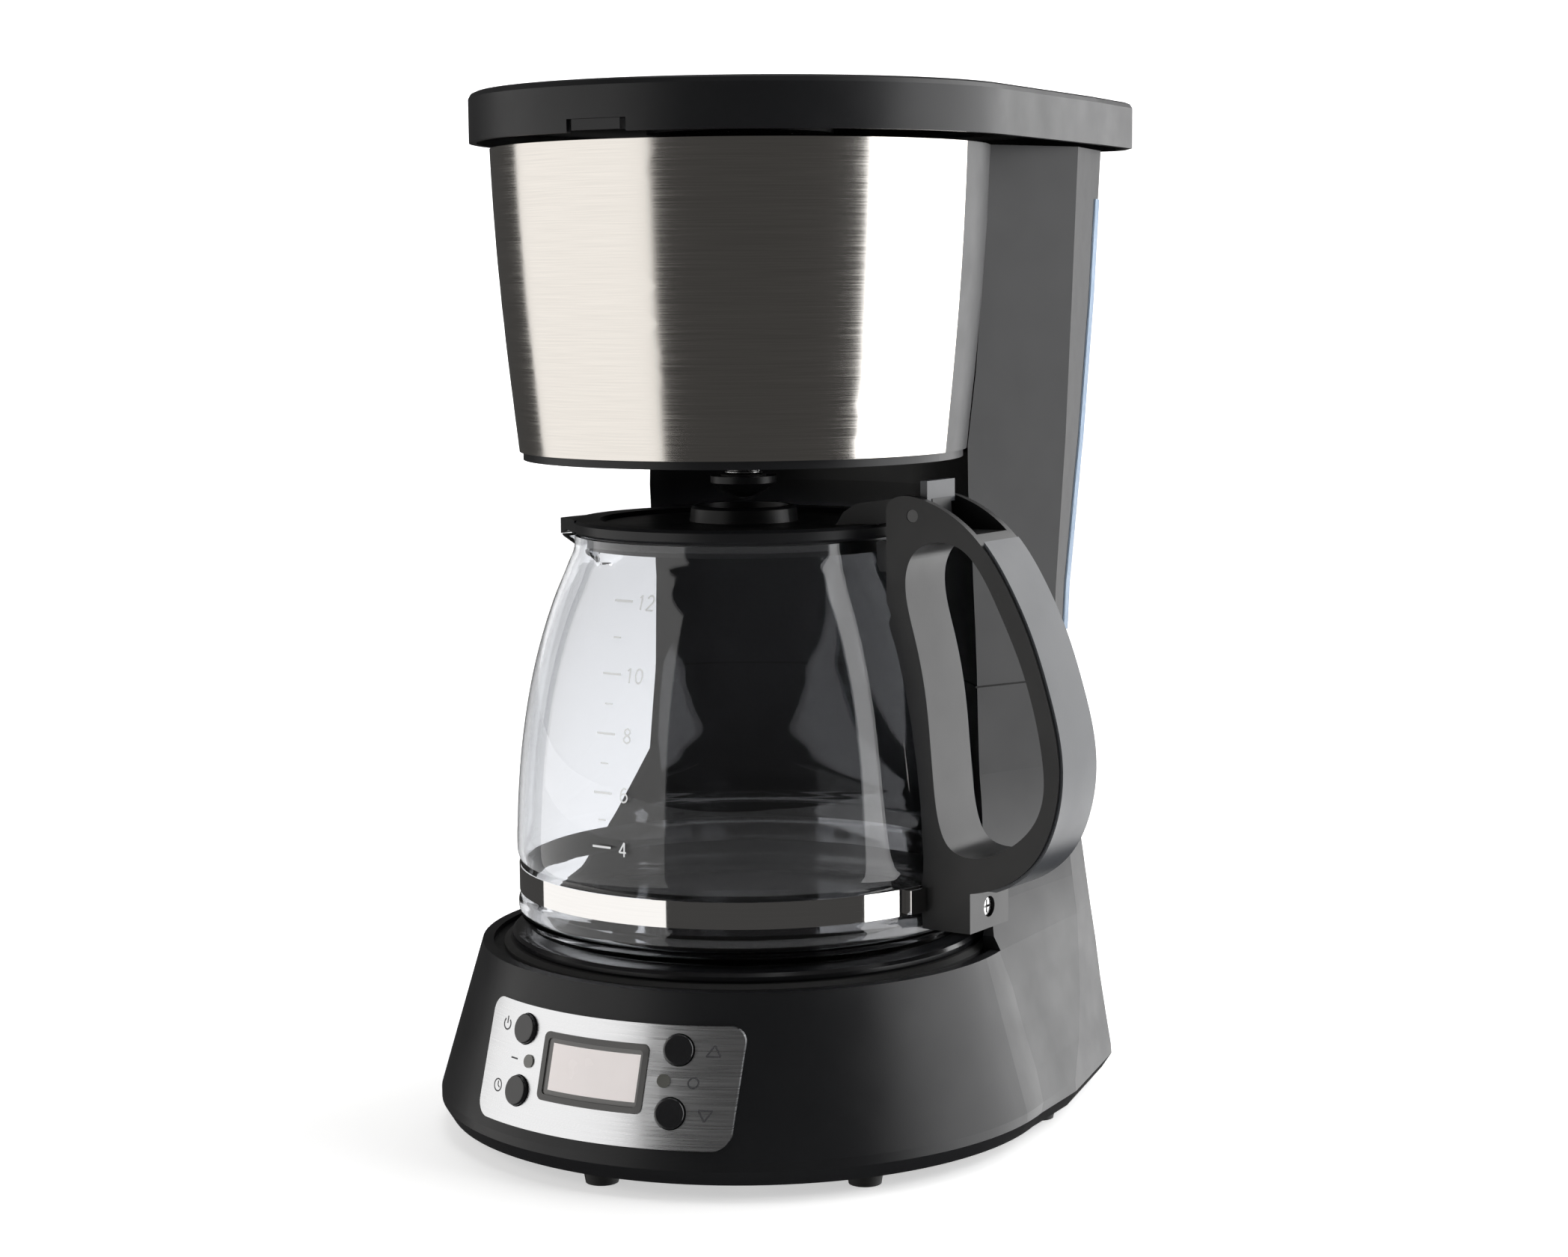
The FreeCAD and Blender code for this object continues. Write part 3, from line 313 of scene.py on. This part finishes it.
# ---------------------------------------------------------------- carafe glass, as one fine smooth skin
GLASS_WALL, GLASS_FLOOR, GLASS_TOP_Z = 1.8, 2.4, 193.6
SPOUT_DEG, SPOUT_HALF_DEG, SPOUT_TOP_Z, SPOUT_LOW_Z = 176.0, 13.0, 190.2, 180.0
CONE_FOOT_R, CONE_FOOT_OUT, CONE_LENGTH, CONE_SPREAD = 4.0, 48.0, 24.0, 0.275
LIP_BLEND = 0.8
CORNER_HEIGHT, CORNER_R, FLOOR_INSET = 4.5, 4.0, 6.0     # rounding inside, where the wall meets the floor


def lip_reach(turn, z):
    """How far out the pouring lip's slanted cone goes, this many degrees off its middle."""
    if abs(turn) > SPOUT_HALF_DEG or z < SPOUT_LOW_Z - 5:
        return 0.0
    best, r = 0.0, 50.0
    while r < 76.0:
        u, v = r * math.cos(math.radians(turn)) - CONE_FOOT_OUT, z - SPOUT_LOW_Z
        along, off = (u + v) / math.sqrt(2), (u - v) / math.sqrt(2)
        aside = r * math.sin(math.radians(turn))
        if 0 < along < CONE_LENGTH and math.hypot(off, aside) < CONE_FOOT_R + CONE_SPREAD * along:
            best = r
        r += 0.05
    return best


def glass_skin(columns=180, steps=5):
    heights = [z0 + (z1 - z0) * i / steps for (z0, _), (z1, _) in zip(GLASS, GLASS[1:]) for i in range(steps)]
    heights.append(GLASS_TOP_Z)
    floor_z = GLASS[0][0] + GLASS_FLOOR
    verts, rings = [], []

    def add_ring(z, shrink):
        ring = []
        for i in range(columns):
            bearing = 360.0 * i / columns
            turn = (bearing - SPOUT_DEG + 180) % 360 - 180
            share = max(0.0, math.cos(math.radians(90 * min(1.0, abs(turn) / SPOUT_HALF_DEG))))
            top = GLASS_TOP_Z - (GLASS_TOP_Z - SPOUT_TOP_Z) * share
            level = z
            if z > SPOUT_LOW_Z:
                level = SPOUT_LOW_Z + (z - SPOUT_LOW_Z) * (top - SPOUT_LOW_Z) / (GLASS_TOP_Z - SPOUT_LOW_Z)
            gap = glass_r(level) - lip_reach(turn, level)
            r = glass_r(level) + 0.5 * (math.sqrt(gap * gap + LIP_BLEND) - gap) - shrink
            t = math.radians(bearing)
            ring.append(len(verts))
            verts.append(world(r * math.cos(t), r * math.sin(t), level))
        rings.append(ring)

    for z in heights:
        add_ring(z, 0.0)
    for z in reversed([h for h in heights if h > floor_z + 0.2]):
        corner = max(0.0, 1 - (z - floor_z) / CORNER_HEIGHT)
        add_ring(z, GLASS_WALL + CORNER_R * corner * corner)
    add_ring(floor_z, GLASS_WALL + FLOOR_INSET)
    faces = [(a[i], a[(i + 1) % columns], b[(i + 1) % columns], b[i])
             for a, b in zip(rings, rings[1:]) for i in range(columns)]
    faces += [tuple(reversed(rings[0])), tuple(rings[-1])]
    return verts, faces


skin = piece("carafe_skin", *glass_skin(), "glass", "carafe", "carafe_glass")
build = bmesh.new()
build.from_mesh(skin.data)
bmesh.ops.recalc_face_normals(build, faces=build.faces)
build.to_mesh(skin.data)
build.free()
skin.data.shade_smooth()
skin.data.set_sharp_from_angle(angle=math.radians(50))
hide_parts("carafe_glass")

# the joint between the two housings, round the outside of the column and round its bay
SEAM_Z = 141.0
SEAM_PLAN = [(62.8, 43.0), (77.0, 73.0), (73.4, 90.2), (50.3, 130.0), (44.3, 132.0)]


def ribbon(points, low, high):
    verts = [world(x, y, z) for x, y in points for z in (low, high)]
    n = len(points)
    faces = [(2 * i, 2 * i + 2, 2 * i + 3, 2 * i + 1) for i in range(n - 1)]
    return verts, faces


right = [(x + 0.08, y) for x, y in SEAM_PLAN]
outline = right + [(-x, y + 0.08 * (i < 1)) for i, (x, y) in enumerate(reversed(right))]
outline = [(x, y + (0.08 if y > 100 else 0.0)) for x, y in outline]
bay_line = arc(0, 0, 76.68, 34.6, 145.4, 40)
piece("seam_outside", *ribbon(outline, SEAM_Z - 0.3, SEAM_Z + 0.3), "seam", "housing", "upper_housing")
piece("seam_bay", *ribbon(bay_line, SEAM_Z - 0.3, SEAM_Z + 0.3), "seam", "housing", "upper_housing")


# ---------------------------------------------------------------- studio
def camera_like_the_view():
    azimuth, pitch, roll = math.radians(29.8), math.radians(6.63), math.radians(-0.5)
    across, back, height = 12.74, 974.42, 275.09
    side = Vector((math.cos(azimuth), math.sin(azimuth), 0))
    ahead = Vector((-math.sin(azimuth), math.cos(azimuth), 0))
    up = Vector((0, 0, 1))
    place = (side * across - ahead * back + up * height + SHIFT) * MM
    look = ahead * math.cos(pitch) - up * math.sin(pitch)
    over = ahead * math.sin(pitch) + up * math.cos(pitch)
    x = side * math.cos(roll) + over * math.sin(roll)
    y = over * math.cos(roll) - side * math.sin(roll)
    cam = bpy.data.objects.new("camera", bpy.data.cameras.new("camera"))
    bpy.context.collection.objects.link(cam)
    m = Matrix((x, y, -look)).transposed().to_4x4()
    m.translation = place
    cam.matrix_world = m
    cam.data.sensor_width = 36.0
    cam.data.lens = 36.0 * 4000.0 / 2096.0
    cam.data.clip_start = 0.01
    bpy.context.scene.camera = cam


VIEW_DEG = -60.2            # the camera stands on this bearing from the object


def softbox(name, bearing, distance, width, low, high, level, color=(1, 1, 1)):
    """Upright soft light on a bearing turned from the camera's, facing the object."""
    t = math.radians(VIEW_DEG + bearing)
    light = bpy.data.lights.new(name, "AREA")
    light.shape = "RECTANGLE"
    light.size, light.size_y = width, high - low
    light.energy = level * math.pi * width * (high - low)
    light.color = color
    obj = bpy.data.objects.new(name, light)
    bpy.context.collection.objects.link(obj)
    obj.location = (distance * math.cos(t), distance * math.sin(t), (low + high) / 2)
    facing = Vector((-math.cos(t), -math.sin(t), 0))
    obj.rotation_euler = facing.to_track_quat("-Z", "Y").to_euler()


def staged(name, verts, faces, first, last, rough, glow=0.0):
    mesh = bpy.data.meshes.new(name)
    mesh.from_pydata(verts, [], faces)
    obj = bpy.data.objects.new(name, mesh)
    bpy.context.collection.objects.link(obj)
    m, nt, b = new_mat(name)
    nt.links.new(ramp(nt, noise(nt, coords(nt), 3.0), first, last), b.inputs["Base Color"])
    put(b, rough=rough)
    if glow:
        b.inputs["Emission Color"].default_value = (1, 1, 1, 1)
        b.inputs["Emission Strength"].default_value = glow
    obj.data.materials.append(m)
    obj.visible_glossy = False
    return obj


staged("floor", [(-6, -6, 0), (6, -6, 0), (6, 6, 0), (-6, 6, 0)], [(0, 1, 2, 3)],
       (0.88, 0.88, 0.88), (0.90, 0.90, 0.90), 0.7, 0.52)
camera_like_the_view()
softbox("right", 100, 1.05, 1.9, -0.6, 1.7, 3.2)
softbox("left", -79, 1.05, 1.75, -0.6, 1.0, 1.15, (1.0, 0.985, 0.965))
back_t = math.radians(VIEW_DEG + 180)
across = Vector((-math.sin(back_t), math.cos(back_t), 0))
centre = Vector((math.cos(back_t), math.sin(back_t), 0)) * 3.4
corners = ((-4.0, -0.01), (4.0, -0.01), (4.0, 3.6), (-4.0, 3.6))
wall = [centre + across * a + Vector((0, 0, h)) for a, h in corners]
staged("backdrop", [tuple(p) for p in wall], [(0, 1, 2, 3)], (0.9, 0.9, 0.9), (0.92, 0.92, 0.92), 0.8, 1.1)
top = bpy.data.lights.new("top", "AREA")
top.shape, top.size, top.energy = "SQUARE", 1.2, 9.0
top_obj = bpy.data.objects.new("top", top)
bpy.context.collection.objects.link(top_obj)
top_obj.location = (-0.1, 0.3, 1.9)
sky = bpy.data.worlds.new("studio")
sky.use_nodes = True
sky.node_tree.nodes["Background"].inputs["Color"].default_value = (1.0, 0.98, 0.96, 1)
sky.node_tree.nodes["Background"].inputs["Strength"].default_value = 0.06
bpy.context.scene.world = sky
bpy.context.scene.view_settings.view_transform = "Standard"
